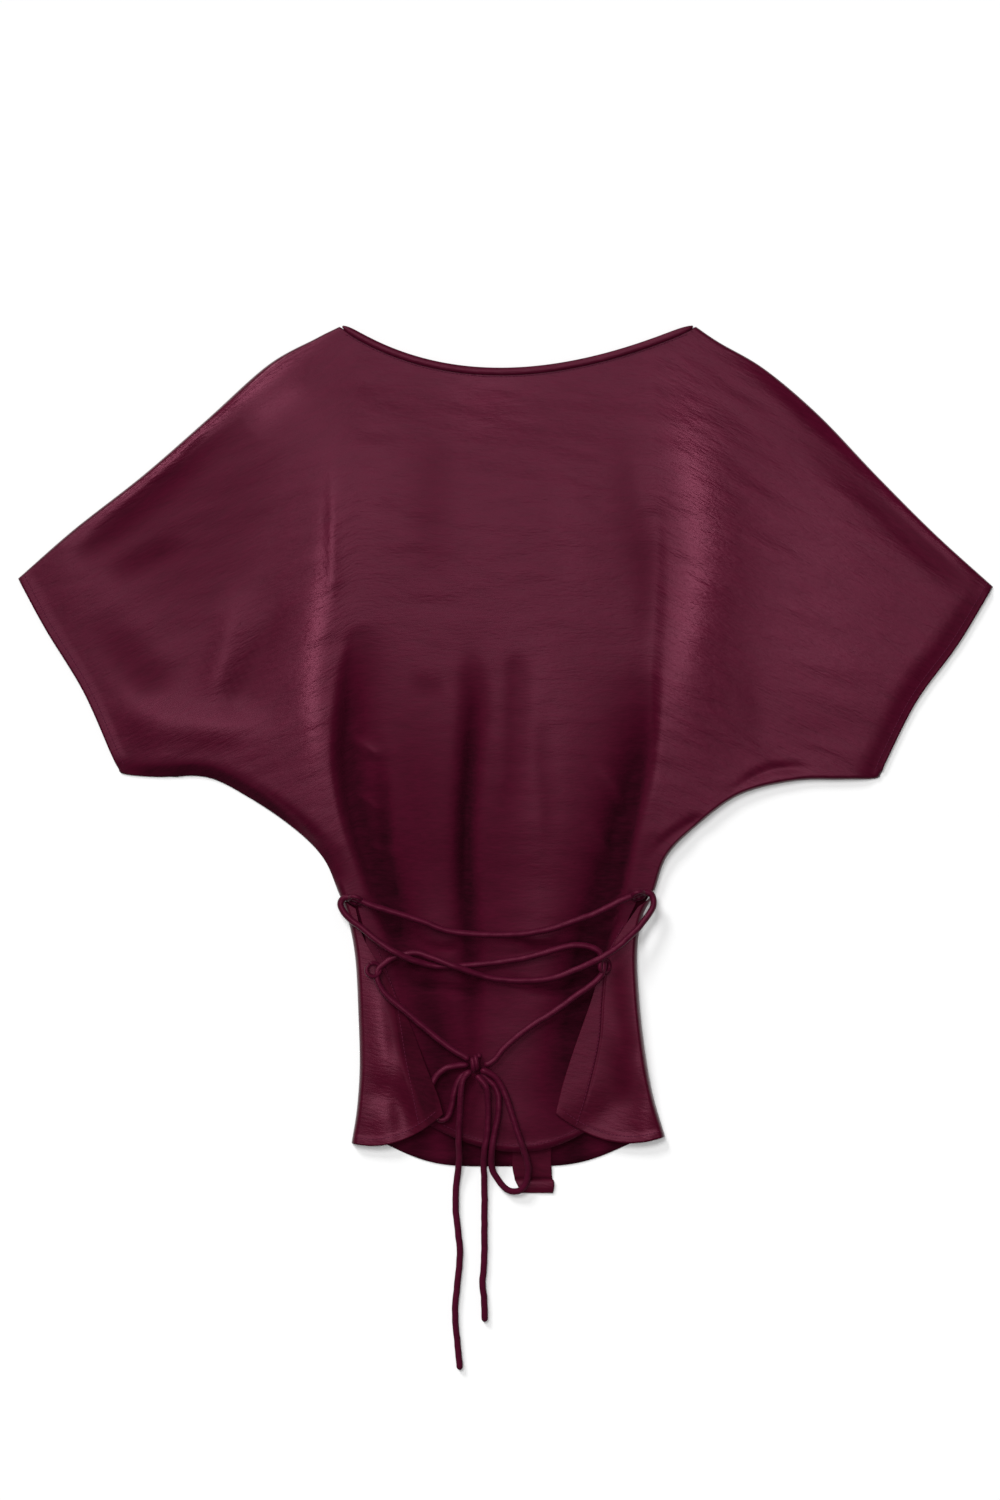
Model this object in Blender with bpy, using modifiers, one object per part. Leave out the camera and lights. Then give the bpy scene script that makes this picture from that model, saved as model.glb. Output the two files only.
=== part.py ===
"""A boat-necked tie waist top with dolman half sleeves, laid flat on a surface.

Lengths in the tables are millimetres and become metres when a mesh is made. The garment lies in the
XY plane with its neck towards +Y and the surface at Z = 0. The near panel lies on the far panel, two
flaps wrap round from the sides over the near panel's tongue, and one tie laces the waist and ends in
a bow. Left and right are those of someone looking down at it.
"""

import math
from collections import namedtuple

import bpy
import numpy as np

MM = 0.001

# Cloth and seams
WALL = 1.2
SEAM_GAP = 0.3
NEAR_LOW = 4.2        # lowest top of the near panel, clear of the far panel and the tab
SLEEVE_PUFF = 1.6     # extra height of the near panel over the sleeves
BODY_PUFF = 2.4       # and more over the body
BODY_HALF_WIDTH = 150.0
ROLL_WIDTH = 8.0      # how far in from a folded edge the near cloth rises to its full height
ROLL_FOOT = 1.15      # top of that edge, so that the wall under it just clears the surface
FAR_INSET = 2.6       # how far the far panel stays inside the near one
FLAP_STEP = WALL + 0.5  # how far a flap's upper side lies above the near panel's

# Grids: columns close together beside an edge, then even ones, and steps between two rows of a table
EDGE_COLUMNS = (0.0, 2.0, 6.0, 14.0)
PANEL_COLUMNS = 30
FLAP_EDGE_COLUMNS = (0.0, 2.0, 4.5)
FLAP_COLUMNS = 7
TAB_COLUMNS = 4
NECK_COLUMNS = 17
STEPS = 2
EDGE_SPACING = 2.0

# Neck binding: a flattened tube along a parabola through its ends and its middle
BINDING_WIDTH = 5.7
BINDING_HEIGHT = 2.3
BINDING_POINTS = 25
BINDING_LINE = ((-118.5, 320.5), (-4, 287), (136.5, 320.5))

# Rouleau tie and the loops that hold it
TIE_DIAMETER = 4.8
LOOP_DIAMETER = 2.0
LOOP_RADIUS = 3.9

# Rows of the near panel from the neck down: left edge, middle and right edge of each row
Row = namedtuple("Row", "left_x left_y mid_x mid_y right_x right_y")

SHOULDER_ROWS = (
    Row(-123, 318.5, -4, 283.5, 141, 318.5),
    Row(-140, 310, 2, 276, 158, 307),
    Row(-176, 290, 4, 262, 192, 287),
    Row(-222, 249, 2, 240, 232, 253),
    Row(-269, 208, 0, 215, 275, 208),
    Row(-320, 168, 0, 190, 318, 165),
    Row(-361, 132, 0, 165, 361, 126),
)
CUFF_ROWS = (
    SHOULDER_ROWS[-1],
    Row(-341, 95, 0, 128, 335, 83),
    Row(-313, 49, 0, 85, 305, 42),
    Row(-285, -12, 0, 20, 276, -15),
)
UNDERARM_ROWS = (
    CUFF_ROWS[-1],
    Row(-258, -15, 0, -2, 250, -17),
    Row(-222, -15, 0, -20, 214, -18),
    Row(-192, -29, 0, -40, 174, -28),
    Row(-158, -52, 0, -60, 143, -50),
    Row(-135, -75, -2, -80, 120, -73),
    Row(-122.5, -103.5, -5, -106, 110.5, -98.5),
)
TONGUE_ROWS = (
    Row(-109.5, -111, -5, -113, 97, -107),
    Row(-104, -133, -6, -135, 88, -130),
    Row(-100, -170, -7, -178, 87, -166),
    Row(-97, -210, -4, -225, 88, -206),
    Row(-90, -250, 8, -292.5, 88, -252),
)

# Largest folds: half width, height (below zero is a trough), and the line that the fold follows
Fold = namedtuple("Fold", "half_width height line")

NEAR_FOLDS = (
    Fold(17, 4.5, ((-122, 245), (-134, 116), (-142, 12), (-130, -66))),
    Fold(15, -4.0, ((-100, 116), (-114, 49), (-98, -25), (-82, -106))),
    Fold(12, -4.5, ((-54, 157), (-29, 86), (-25, -32), (-23, -224))),
    Fold(15, -4.5, ((114, 205), (108, 101), (94, 12), (68, -106))),
    Fold(19, 4.0, ((139, 290), (145, 116), (138, -2), (120, -62))),
    Fold(22, 2.5, ((-66, 60), (-62, -40), (-54, -120), (-56, -230))),
    Fold(24, 2.5, ((32, 90), (34, -40), (26, -130), (22, -240))),
    Fold(12, 3.0, ((-178, 20), (-200, 70), (-216, 110))),
    Fold(10, -3.0, ((-212, 40), (-200, 90), (-186, 130))),
    Fold(14, 2.5, ((196, -4), (230, 40), (262, 96))),
)
FLAP_FOLDS = (
    Fold(12, 2.5, ((-92, -180), (-84, -225), (-76, -275))),
    Fold(14, 2.5, ((90, -150), (88, -215), (104, -272))),
    Fold(9, -2.0, ((78, -232), (86, -244))),
    Fold(12, 8.6, ((-72, -214), (-58, -244), (-53, -264), (-49, -284))),
)
FOLD_SAMPLES = 40
FLOOR_SHARPNESS = 1.4  # per millimetre: how suddenly a trough flattens on the far panel

# Open edges of the near panel: how far in the cloth starts to settle, the share of its lift that it loses
# at the edge, and the edge's line
OpenEdge = namedtuple("OpenEdge", "reach loss line")

OPEN_EDGES = (
    OpenEdge(34, 1.0, ((-123, 318), (-62, 293), (-4, 284), (70, 294), (141, 318))),
    OpenEdge(24, 0.6, ((-361, 132), (-341, 95), (-313, 49), (-285, -12))),
    OpenEdge(24, 0.6, ((361, 126), (335, 83), (305, 42), (276, -15))),
    OpenEdge(18, 0.5, ((-90, -250), (-46, -280), (8, -292), (50, -281), (88, -252))),
)

# Rows of the flaps from the waist down: edge at the side, free inner edge, and how far the row bows down
FlapRow = namedtuple("FlapRow", "side_x side_y inner_x inner_y bow")

LEFT_FLAP_ROWS = (
    FlapRow(-120, -109, -111, -114, 0),
    FlapRow(-115, -127, -105, -134, 0),
    FlapRow(-111, -152, -90, -160, 1),
    FlapRow(-109, -190, -73, -192, 2),
    FlapRow(-108, -228, -59, -228, 5),
    FlapRow(-110, -260, -50, -250, 8),
    FlapRow(-114, -286, -46, -264, 10),
)
RIGHT_FLAP_ROWS = (
    FlapRow(108.5, -104, 98, -111, 0),
    FlapRow(101, -120, 85, -130, 0),
    FlapRow(97.5, -145, 73, -150, 1),
    FlapRow(99, -180, 62, -184, 2),
    FlapRow(103, -216, 51, -215, 5),
    FlapRow(109, -250, 42, -243, 9),
    FlapRow(118, -281, 37, -264, 12),
)

# Hem of the far panel, from the left side to the right
FAR_HEM = (
    (-111, -284), (-85, -291), (-48, -300), (-19, -303), (11, -303), (40, -301), (70, -295), (115, -280),
)

# Tab below the hem: left edge, right edge and top height of each row
TabRow = namedtuple("TabRow", "left_x right_x y top")

TAB_ROWS = (
    TabRow(5, 34, -272, 2.6),
    TabRow(5, 34, -290, 2.6),
    TabRow(5, 34, -305, 2.6),
    TabRow(7, 35, -313, 1.3),
    TabRow(9, 36, -318, 1.3),
    TabRow(11, 35, -323.1, 1.3),
)

# Route of the tie from the knot's left side through the four loops to its right side: x, y and z
LACING_ROUTE = (
    (-26.8, -223.4, 15.2), (-42, -214.5, 13.7), (-58, -201.5, 13.4), (-74, -188, 14), (-87, -177, 14.2),
    (-94, -167, 14.5), (-94.5, -158, 14), (-87.5, -151, 12.6), (-79, -147, 12.4), (-66, -145, 13),
    (-54, -148.5, 15.5), (-46, -151.5, 17.6), (-38, -154.5, 18.4), (-29, -157.8, 16.6),
    (-18, -161.5, 14.4), (-5, -164.3, 13.8), (14, -165.5, 14.2), (36, -163, 14.4), (57, -155, 16),
    (70, -148.5, 18.6), (82, -141, 17.5), (96, -128.5, 14), (106, -116, 12), (109.5, -108, 11.2),
    (107.5, -101.5, 11.4), (101, -100.4, 12), (86, -106, 13.5), (67.5, -115, 14), (50, -121.5, 14.6),
    (34.6, -126.6, 15), (10, -131, 15.4), (-20, -131, 15.2), (-42.7, -128.5, 15), (-60, -122, 14.4),
    (-80.5, -115.5, 14), (-98, -110, 14), (-112, -104.4, 12.6), (-119.5, -104.6, 11),
    (-121.8, -110, 10.4), (-117, -118, 11.8), (-105, -127.5, 14.4), (-93, -137, 17), (-82, -144, 18.4),
    (-70, -149.6, 16.4), (-58, -153.3, 13.6), (-46, -155, 13), (-34, -154.6, 12.9), (-20, -153.2, 13.2),
    (-8, -152, 13.4), (13, -148.8, 14), (34.6, -143, 14.4), (48, -139.6, 14.2), (60, -139.8, 13.8),
    (68.5, -143.5, 13.4), (72, -150.5, 13.2), (72, -158, 14), (66.5, -166, 14.2), (50.7, -177.6, 13.8),
    (34.6, -189, 13.6), (18, -199.5, 13.8), (1, -213, 14), (-9, -224.5, 14.4), (-15.5, -228, 14.8),
)
BOW_ROUTES = {
    "bow_loop_left": (
        (-27.4, -227.6, 11.4), (-39.6, -228.8, 12), (-47, -232, 12), (-52.5, -238, 11.9),
        (-55.5, -247, 11.8), (-55, -258, 11), (-51.5, -266.5, 10.1), (-46, -270, 10),
        (-41.6, -264, 10.5), (-38.8, -253, 11.4), (-36.8, -243, 12), (-32.5, -235.6, 11.8),
        (-26.6, -232.8, 11.8),
    ),
    "bow_loop_right": (
        (-18.3, -231.8, 16.5), (-13.3, -232.8, 16), (-7, -237.3, 14.6), (-1.3, -246.6, 13.4),
        (3.3, -259.6, 13), (7.8, -274.4, 11.8), (12.4, -287.3, 10.6), (15.6, -297.5, 8.4),
        (16.8, -306.5, 6.2), (15.2, -315, 5), (11.5, -320.3, 4.4), (6.1, -322, 3.6), (0.4, -320, 2.9),
        (-5, -314, 3), (-9.3, -306.6, 4.4), (-10.5, -298, 7.6), (-9.8, -289, 10.4), (-8.2, -278, 11.2),
        (-6, -268.8, 12), (-5, -259.6, 12.6), (-5.2, -251, 12.6), (-8.5, -243, 12.4),
        (-15.5, -236, 12.6), (-17.8, -233.6, 12.9),
    ),
    "bow_end_left": (
        (-25.6, -231.8, 17.6), (-30, -236, 17.4), (-32.4, -243, 17.2), (-33.2, -252, 16),
        (-33.8, -264, 13.8), (-34.4, -276, 11.4), (-34.6, -285, 10), (-34.3, -295, 6.8),
        (-35, -305, 4.4), (-36.4, -317, 2.7), (-36.9, -335.4, 2.5), (-34.8, -354.6, 2.5),
        (-33.7, -368, 2.5), (-35.4, -387, 2.5), (-37.3, -408, 2.5), (-37, -422, 2.5),
        (-35.3, -438, 2.5), (-33.7, -453.5, 2.5),
    ),
    "bow_end_right": (
        (-21.4, -235.4, 15.4), (-17.5, -239.5, 16.4), (-14, -245, 16.6), (-12.8, -256, 14),
        (-12.9, -268.8, 12), (-13.8, -280, 10.8), (-15.5, -290, 9.8), (-16.2, -299, 6.8),
        (-16, -309, 4.2), (-15.8, -320, 2.7), (-15.6, -336, 2.5), (-15.9, -372.4, 2.5),
        (-17, -390, 2.5), (-15.9, -402, 2.5), (-15.5, -418, 2.5),
    ),
}
TIE_STEP = 18.0       # longest straight piece of the tie
TIE_TURN = 45.0       # and the most it may turn, in degrees, before the next point
KNOT_CENTRE = (-22, -227.8, 14.5)
KNOT_SIZE = (8.5, 13, 9)

# Loops that hold the tie: place, height of the tie's centre there, the tie's heading and how deep the feet go
Loop = namedtuple("Loop", "x y z heading foot")

LOOPS = {
    "waist_loop_left": Loop(-112, -104.4, 12.6, -16, 4),
    "waist_loop_right": Loop(98, -101.3, 12.4, 17, 4),
    "flap_loop_left": Loop(-94.6, -161.5, 14.2, 95, 3.4),
    "flap_loop_right": Loop(72.4, -156.5, 13.8, 92, 3.4),
}

CLOTH_COLOUR = (0.102, 0.016, 0.033, 1.0)
FLAP_COLOUR = (0.115, 0.019, 0.038, 1.0)
BINDING_COLOUR = (0.09, 0.013, 0.029, 1.0)
TIE_COLOUR = (0.075, 0.01, 0.024, 1.0)
SATIN_ROUGHNESS = 0.42


def clear_scene():
    for obj in list(bpy.data.objects):
        bpy.data.objects.remove(obj, do_unlink=True)


def satin(name, colour):
    """A satin cloth material of one colour."""
    material = bpy.data.materials.new(name)
    material.use_nodes = True
    shader = material.node_tree.nodes["Principled BSDF"]
    shader.inputs["Base Color"].default_value = colour
    shader.inputs["Roughness"].default_value = SATIN_ROUGHNESS
    shader.inputs["Metallic"].default_value = 0.0
    return material


def smooth(rows, steps):
    """Catmull-Rom curve through the rows, with the ends continued straight: steps points to a span."""
    rows = np.asarray(rows, float)
    padded = np.vstack([2 * rows[0] - rows[1], rows, 2 * rows[-1] - rows[-2]])
    place = np.linspace(0, len(rows) - 1, (len(rows) - 1) * steps + 1)
    span = np.minimum(place.astype(int), len(rows) - 2)
    t = (place - span)[:, None]
    before, start, end, after = (padded[span + k] for k in range(4))
    return 0.5 * (
        2 * start
        + (end - before) * t
        + (2 * before - 5 * start + 4 * end - after) * t**2
        + (3 * start - before - 3 * end + after) * t**3
    )


def evenly(points, spacing):
    """Points at about this spacing along the line through these points."""
    lengths = np.linalg.norm(np.diff(points, axis=0), axis=1)
    along = np.concatenate([[0], np.cumsum(lengths)])
    count = max(int(round(along[-1] / spacing)), 2) + 1
    wanted = np.linspace(0, along[-1], count)
    return np.stack([np.interp(wanted, along, column) for column in points.T], axis=1)


def tie_points(route):
    """Points of the smooth curve through the route, kept where it has run or turned far enough."""
    curve = smooth(route, 8)
    steps = np.diff(curve, axis=0)
    lengths = np.linalg.norm(steps, axis=1)
    unit = steps / lengths[:, None]
    turns = np.degrees(np.arccos(np.clip((unit[1:] * unit[:-1]).sum(axis=1), -1, 1)))
    spent = np.cumsum(lengths / TIE_STEP + np.concatenate([[0], turns]) / TIE_TURN)
    wanted = np.linspace(0, spent[-1], int(math.ceil(spent[-1])) + 1)
    return np.stack([np.interp(wanted, np.concatenate([[0], spent]), column) for column in curve.T], axis=1)


def parabola(w, left, middle, right):
    """Points of the parabola through three points, where w runs from -1 at the left to 1 at the right."""
    return middle + w * (right - left) / 2 + w**2 * ((left + right) / 2 - middle)


def sampled(line):
    """The smooth curve through a fold's or edge's few points."""
    return smooth(line, FOLD_SAMPLES // (len(line) - 1))


def distance_to(x, y, line):
    """Distance of each point from a line, and how far along the line its nearest sample is, 0 to 1."""
    gaps = np.hypot(x[..., None] - line[:, 0], y[..., None] - line[:, 1])
    nearest = gaps.argmin(axis=-1)
    return gaps.min(axis=-1), nearest / (len(line) - 1)


def relief(x, y, folds):
    """Sum of the folds: each a Gaussian across its line that rises and dies away along it."""
    total = np.zeros_like(x)
    for fold in folds:
        gap, along = distance_to(x, y, sampled(fold.line))
        fade = np.sin(np.pi * (0.12 + 0.76 * along)) ** 0.7
        total += fold.height * fade * np.exp(-((gap / fold.half_width) ** 2))
    return total


def near_top(x, y):
    """Height of the near panel's upper side, away from its folded edges."""
    puff = SLEEVE_PUFF + BODY_PUFF * np.exp(-((x / BODY_HALF_WIDTH) ** 2))
    height = puff + relief(x, y, NEAR_FOLDS)
    for edge in OPEN_EDGES:
        gap, _ = distance_to(x, y, sampled(edge.line))
        height = height * (1 - edge.loss * np.exp(-((gap / edge.reach) ** 2)))
    # A soft floor: the lowest troughs flatten out where they meet the far panel
    return NEAR_LOW + np.logaddexp(0, height * FLOOR_SHARPNESS) / FLOOR_SHARPNESS


def rolled(height, gap):
    """Height beside a folded edge: a quarter round that starts at the surface."""
    rise = np.clip(gap / ROLL_WIDTH, 0, 1)
    return ROLL_FOOT + (height - ROLL_FOOT) * np.sqrt(1 - (1 - rise) ** 2)


def across(width):
    """Places across a panel's row, 0 to 1: close together beside both edges and even between them."""
    edge = np.array(EDGE_COLUMNS) / width
    middle = np.linspace(edge[-1], 1 - edge[-1], PANEL_COLUMNS)
    return np.concatenate([edge[:-1], middle, (1 - edge[:-1])[::-1]])


def near_panel_rows():
    """All rows of the near panel, with corners kept at the sleeve tips, cuffs and waist."""
    shoulder, cuff, underarm, tongue = (
        smooth(rows, STEPS) for rows in (SHOULDER_ROWS, CUFF_ROWS, UNDERARM_ROWS, TONGUE_ROWS)
    )
    return shoulder, cuff[1:], underarm[1:], tongue


def near_panel_grid():
    """Each row is a parabola through its left, middle and right points."""
    shoulder, cuff, underarm, tongue = near_panel_rows()
    rows = np.vstack([shoulder, cuff, underarm, tongue])
    left, middle, right = rows[:, None, 0:2], rows[:, None, 2:4], rows[:, None, 4:6]
    width = rows[:, 4] - rows[:, 0]
    w = 2 * np.stack([across(value) for value in width])[..., None] - 1
    flat = parabola(w, left, middle, right)
    x, y = flat[..., 0], flat[..., 1]
    folded = []
    for side in (slice(0, 2), slice(4, 6)):
        for stretch in (shoulder, np.vstack([cuff[-1:], underarm])):
            folded.append(evenly(stretch[:, side], EDGE_SPACING))
    gap = np.min([distance_to(x, y, line)[0] for line in folded], axis=0)
    return np.dstack([x, y, rolled(near_top(x, y), gap)])


def flap_grid(rows):
    """Each row runs straight from the side to the inner edge, bowed down by its own amount."""
    rows = smooth(rows, STEPS)
    side, inner, bow = rows[:, None, 0:2], rows[:, None, 2:4], rows[:, 4][:, None, None]
    places = []
    for span in np.linalg.norm(rows[:, 2:4] - rows[:, 0:2], axis=1):
        edge = np.array(FLAP_EDGE_COLUMNS) / span
        places.append(np.concatenate([edge[:-1], np.linspace(edge[-1], 1, FLAP_COLUMNS)]))
    t = np.stack(places)[..., None]
    flat = side + t * (inner - side) - bow * np.array([0.0, 1.0]) * 4 * t * (1 - t)
    x, y = flat[..., 0], flat[..., 1]
    top = near_top(x, y) + FLAP_STEP + np.maximum(relief(x, y, FLAP_FOLDS), 0)
    gap, _ = distance_to(x, y, evenly(rows[:, 0:2], EDGE_SPACING))
    return np.dstack([x, y, rolled(top, gap)])


def cloth(name, grid, material, group):
    """A wall of cloth: the grid is its upper side and Solidify gives it thickness below."""
    count_v, count_u, _ = grid.shape
    index = np.arange(count_v * count_u).reshape(count_v, count_u)
    quads = np.stack([index[:-1, :-1], index[1:, :-1], index[1:, 1:], index[:-1, 1:]], axis=-1)
    quads = quads.reshape(-1, 4)
    corners = grid.reshape(-1, 3)
    first = corners[quads[0]]
    if np.cross(first[1] - first[0], first[2] - first[0])[2] < 0:
        quads = quads[:, ::-1]
    mesh = bpy.data.meshes.new(name)
    mesh.from_pydata((corners * MM).tolist(), [], quads.tolist())
    mesh.shade_smooth()
    obj = bpy.data.objects.new(name, mesh)
    wall = obj.modifiers.new("wall", "SOLIDIFY")
    wall.thickness = WALL * MM
    wall.offset = -1
    obj.data.materials.append(material)
    group.objects.link(obj)
    return obj


def inset(line, amount):
    """The line moved sideways, to the left of its own direction."""
    along = np.gradient(line, axis=0)
    along /= np.linalg.norm(along, axis=1, keepdims=True)
    return line + amount * np.stack([-along[:, 1], along[:, 0]], axis=1)


def far_panel(material, group):
    """A flat outline just inside the near one, with its own hem."""
    shoulder, cuff, underarm, _ = near_panel_rows()
    sides = np.vstack([shoulder, cuff, underarm])
    left = np.vstack([sides[:, 0:2], smooth(LEFT_FLAP_ROWS, STEPS)[:-1, 0:2]])
    right = np.vstack([sides[:, 4:6], smooth(RIGHT_FLAP_ROWS, STEPS)[:-1, 0:2]])
    w = np.linspace(-1, 1, NECK_COLUMNS)[1:-1, None]
    neck = parabola(w, sides[0, 0:2], sides[0, 2:4], sides[0, 4:6])
    hem = smooth(FAR_HEM, STEPS)
    outline = np.vstack([inset(left, FAR_INSET), hem, inset(right, -FAR_INSET)[::-1], neck[::-1]])
    curve = bpy.data.curves.new("back_panel", "CURVE")
    curve.dimensions = "2D"
    curve.fill_mode = "BOTH"
    curve.extrude = WALL / 2 * MM
    spline = curve.splines.new("POLY")
    spline.points.add(len(outline) - 1)
    points = np.zeros((len(outline), 4))
    points[:, 0:2] = outline * MM
    points[:, 3] = 1
    spline.points.foreach_set("co", points.ravel())
    spline.use_cyclic_u = True
    obj = bpy.data.objects.new("back_panel", curve)
    obj.location.z = WALL / 2 * MM
    curve.materials.append(material)
    group.objects.link(obj)
    return obj


def tube(name, points, diameter, material, group):
    """A round cord along the points, with filled ends."""
    curve = bpy.data.curves.new(name, "CURVE")
    curve.dimensions = "3D"
    curve.bevel_depth = diameter / 2 * MM
    curve.bevel_resolution = 2
    curve.use_fill_caps = True
    spline = curve.splines.new("POLY")
    spline.points.add(len(points) - 1)
    spline.points.foreach_set("co", np.column_stack([points * MM, np.ones(len(points))]).ravel())
    spline.use_smooth = True
    obj = bpy.data.objects.new(name, curve)
    curve.materials.append(material)
    group.objects.link(obj)
    return obj


def neck_binding(name, bottom, material, group):
    """A flattened tube along the neckline: a round one, squashed upright."""
    w = np.linspace(-1, 1, BINDING_POINTS)[:, None]
    left, middle, right = np.array(BINDING_LINE)
    line = parabola(w, left, middle, right)
    points = np.column_stack([line, np.zeros(BINDING_POINTS)])
    obj = tube(name, points, BINDING_WIDTH, material, group)
    obj.scale.z = BINDING_HEIGHT / BINDING_WIDTH
    obj.location.z = (bottom + BINDING_HEIGHT / 2) * MM
    return obj


def tie_loop(name, loop, material, group):
    """An arch of narrow rouleau over the tie: two upright feet and a half round."""
    angle = np.linspace(0, np.pi, 7)
    side = np.concatenate([[LOOP_RADIUS], LOOP_RADIUS * np.cos(angle), [-LOOP_RADIUS]])
    up = np.concatenate([[-loop.foot], LOOP_RADIUS * np.sin(angle), [-loop.foot]])
    turn = math.radians(loop.heading + 90)
    points = np.column_stack([loop.x + side * math.cos(turn), loop.y + side * math.sin(turn), loop.z + up])
    return tube(name, points, LOOP_DIAMETER, material, group)


def bow_knot(material, group):
    """The knot's outer shape: a rounded lump a little wider than the tie."""
    bpy.ops.mesh.primitive_uv_sphere_add(segments=14, ring_count=8, radius=0.5 * MM)
    obj = bpy.context.object
    obj.name = "bow_knot"
    obj.data.name = "bow_knot"
    obj.scale = KNOT_SIZE
    obj.location = [value * MM for value in KNOT_CENTRE]
    obj.data.materials.append(material)
    for home in list(obj.users_collection):
        home.objects.unlink(obj)
    group.objects.link(obj)
    obj.data.shade_smooth()
    return obj


def tab_grid():
    """The strip that lies on the far panel's hem and steps down to the surface below it."""
    rows = smooth(TAB_ROWS, STEPS)
    t = np.linspace(0, 1, TAB_COLUMNS)
    x = rows[:, 0:1] + t * (rows[:, 1:2] - rows[:, 0:1])
    return np.dstack([x, rows[:, 2:3] + 0 * x, rows[:, 3:4] + 0 * x])


def build():
    clear_scene()
    group = bpy.data.collections.new("tie_waist_top")
    bpy.context.scene.collection.children.link(group)
    body = satin("body_satin", CLOTH_COLOUR)
    flap = satin("flap_satin", FLAP_COLOUR)
    binding = satin("binding_satin", BINDING_COLOUR)
    tie = satin("tie_satin", TIE_COLOUR)

    far_panel(satin("far_satin", CLOTH_COLOUR), group)
    cloth("front_panel", near_panel_grid(), body, group)
    cloth("flap_left", flap_grid(LEFT_FLAP_ROWS), flap, group)
    cloth("flap_right", flap_grid(RIGHT_FLAP_ROWS), flap, group)
    cloth("hem_tab", tab_grid(), flap, group)
    neck_binding("neck_binding_back", 0.0, binding, group)
    neck_binding("neck_binding_front", BINDING_HEIGHT + SEAM_GAP, binding, group)
    for name, loop in LOOPS.items():
        tie_loop(name, loop, tie, group)
    tube("tie_lacing", tie_points(LACING_ROUTE), TIE_DIAMETER, tie, group)
    for name, route in BOW_ROUTES.items():
        tube(name, tie_points(route), TIE_DIAMETER, tie, group)
    bow_knot(tie, group)


build()
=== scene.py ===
"""Looks of a boat-necked tie waist top with dolman half sleeves, laid flat on a pale surface.

Tables hold millimetres, with x to the right, y towards the neck and the surface at height 0, and
become metres when a mesh is made. The cloth is crepe-back satin: thin shells on the forms of the
solids, with their folds, finer creases, hems and sewing. The tie is a rouleau of the same cloth.
"""

import math
from collections import namedtuple
from functools import partial

import bpy
import numpy as np
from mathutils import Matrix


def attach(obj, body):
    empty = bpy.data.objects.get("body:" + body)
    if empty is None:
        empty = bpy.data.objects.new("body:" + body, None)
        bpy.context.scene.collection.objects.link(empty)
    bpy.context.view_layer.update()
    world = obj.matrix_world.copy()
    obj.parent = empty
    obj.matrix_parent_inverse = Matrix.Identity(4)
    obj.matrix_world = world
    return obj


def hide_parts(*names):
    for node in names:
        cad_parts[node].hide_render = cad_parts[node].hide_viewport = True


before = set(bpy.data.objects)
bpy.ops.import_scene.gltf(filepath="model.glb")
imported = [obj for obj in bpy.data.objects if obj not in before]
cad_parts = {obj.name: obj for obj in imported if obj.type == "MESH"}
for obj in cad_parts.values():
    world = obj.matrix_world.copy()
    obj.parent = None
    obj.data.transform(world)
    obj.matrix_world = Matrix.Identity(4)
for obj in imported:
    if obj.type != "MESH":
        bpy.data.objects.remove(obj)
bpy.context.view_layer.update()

MM = 0.001

# Camera: straight down, so that a pixel of the 1000 x 1500 frame spans PIXEL mm at the height of the cloth
PIXEL = 0.74
FRAME_HEIGHT = 1500
FRAME_CENTRE = (-4.1, 5.0)
LENS = 150.0
SENSOR = 36.0
CLOTH_HEIGHT = 5.0
FAR_CLIP = 20           # in metres

# Cloth and seams
SHELL = 0.6             # thickness of the satin, drawn a little thick
NEAR_LOW = 1.8          # lowest top of the near panel, on the far panel
TAB_LIFT = 1.8          # and how much higher near the tongue's hem, over the tab
TAB_LIFT_Y = -262       # this begins here
TAB_LIFT_X = 20         # its middle
TAB_LIFT_REACH = 24     # and how far it reaches to each side
SLEEVE_PUFF = 3.6       # extra height of the near panel over the sleeves
BODY_PUFF = 2.8         # and more over the body
CHEST_PUFF = 4.4        # and over the chest, above the tie
CHEST_LOW = -75         # the chest's extra height fades in above this
BODY_HALF_WIDTH = 150.0
ROLL_WIDTHS = (6.0, 2.5)        # how far in from a folded edge the near cloth rises, on its left and right
FLAP_ROLL_WIDTH = 4.0   # and the flaps' cloth
ROLL_FOOT = 0.7         # height of the upper side at the folded edge itself
FLOOR_SHARPNESS = 1.4   # how abruptly a trough flattens where it meets the far panel
FLAP_STEP = 1.5         # how far a flap lies above the near panel
DEEPEST_ON_FLAP = -0.5  # a flap's own folds go no lower than this
FAR_TOP = 0.8           # height of the far panel's upper side
FAR_INSET = 2.6         # how far inside the near panel's edges it ends
HEM = 6.0               # depth of the cuffs' and hems' turned edges
HEM_STEP = 0.45         # and how much thicker they are
FLOOR_GAP = 0.15        # the floor lies this far below the cloth, so that the two never flicker
FLOOR_SIZE = 12         # in metres

# Painted shade in hollows and painted highlight on ridges, for the satin's colour and gloss
DEEP = 7.0              # a fold this deep gets the darkest painted shade
PAINTED_WAIST_SHADE = 0.42         # painted shade added at the waist and below, with duller gloss
PAINTED_WAIST_SHADE_FROM = -10     # half of it is there at this y
PAINTED_WAIST_SHADE_HALF_WIDTH = 105

# Grids
FINE = 36               # samples along a fold's line
FOLD_START = 0.46       # share of a fold's line over which it grows from its upper end
FOLD_END = 0.32         # and over which it dies away towards its lower end
FOLD_SPREAD = 0.15      # a fold is wider by this share where it begins and ends
ROW_STEPS = {"shoulder": 13, "cuff": 10, "underarm": 7, "tongue": 15}
NEAR_COLUMNS = 200
FAR_COLUMNS = 110
FLAP_STEPS = 20
FLAP_COLUMNS = 100

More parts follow.
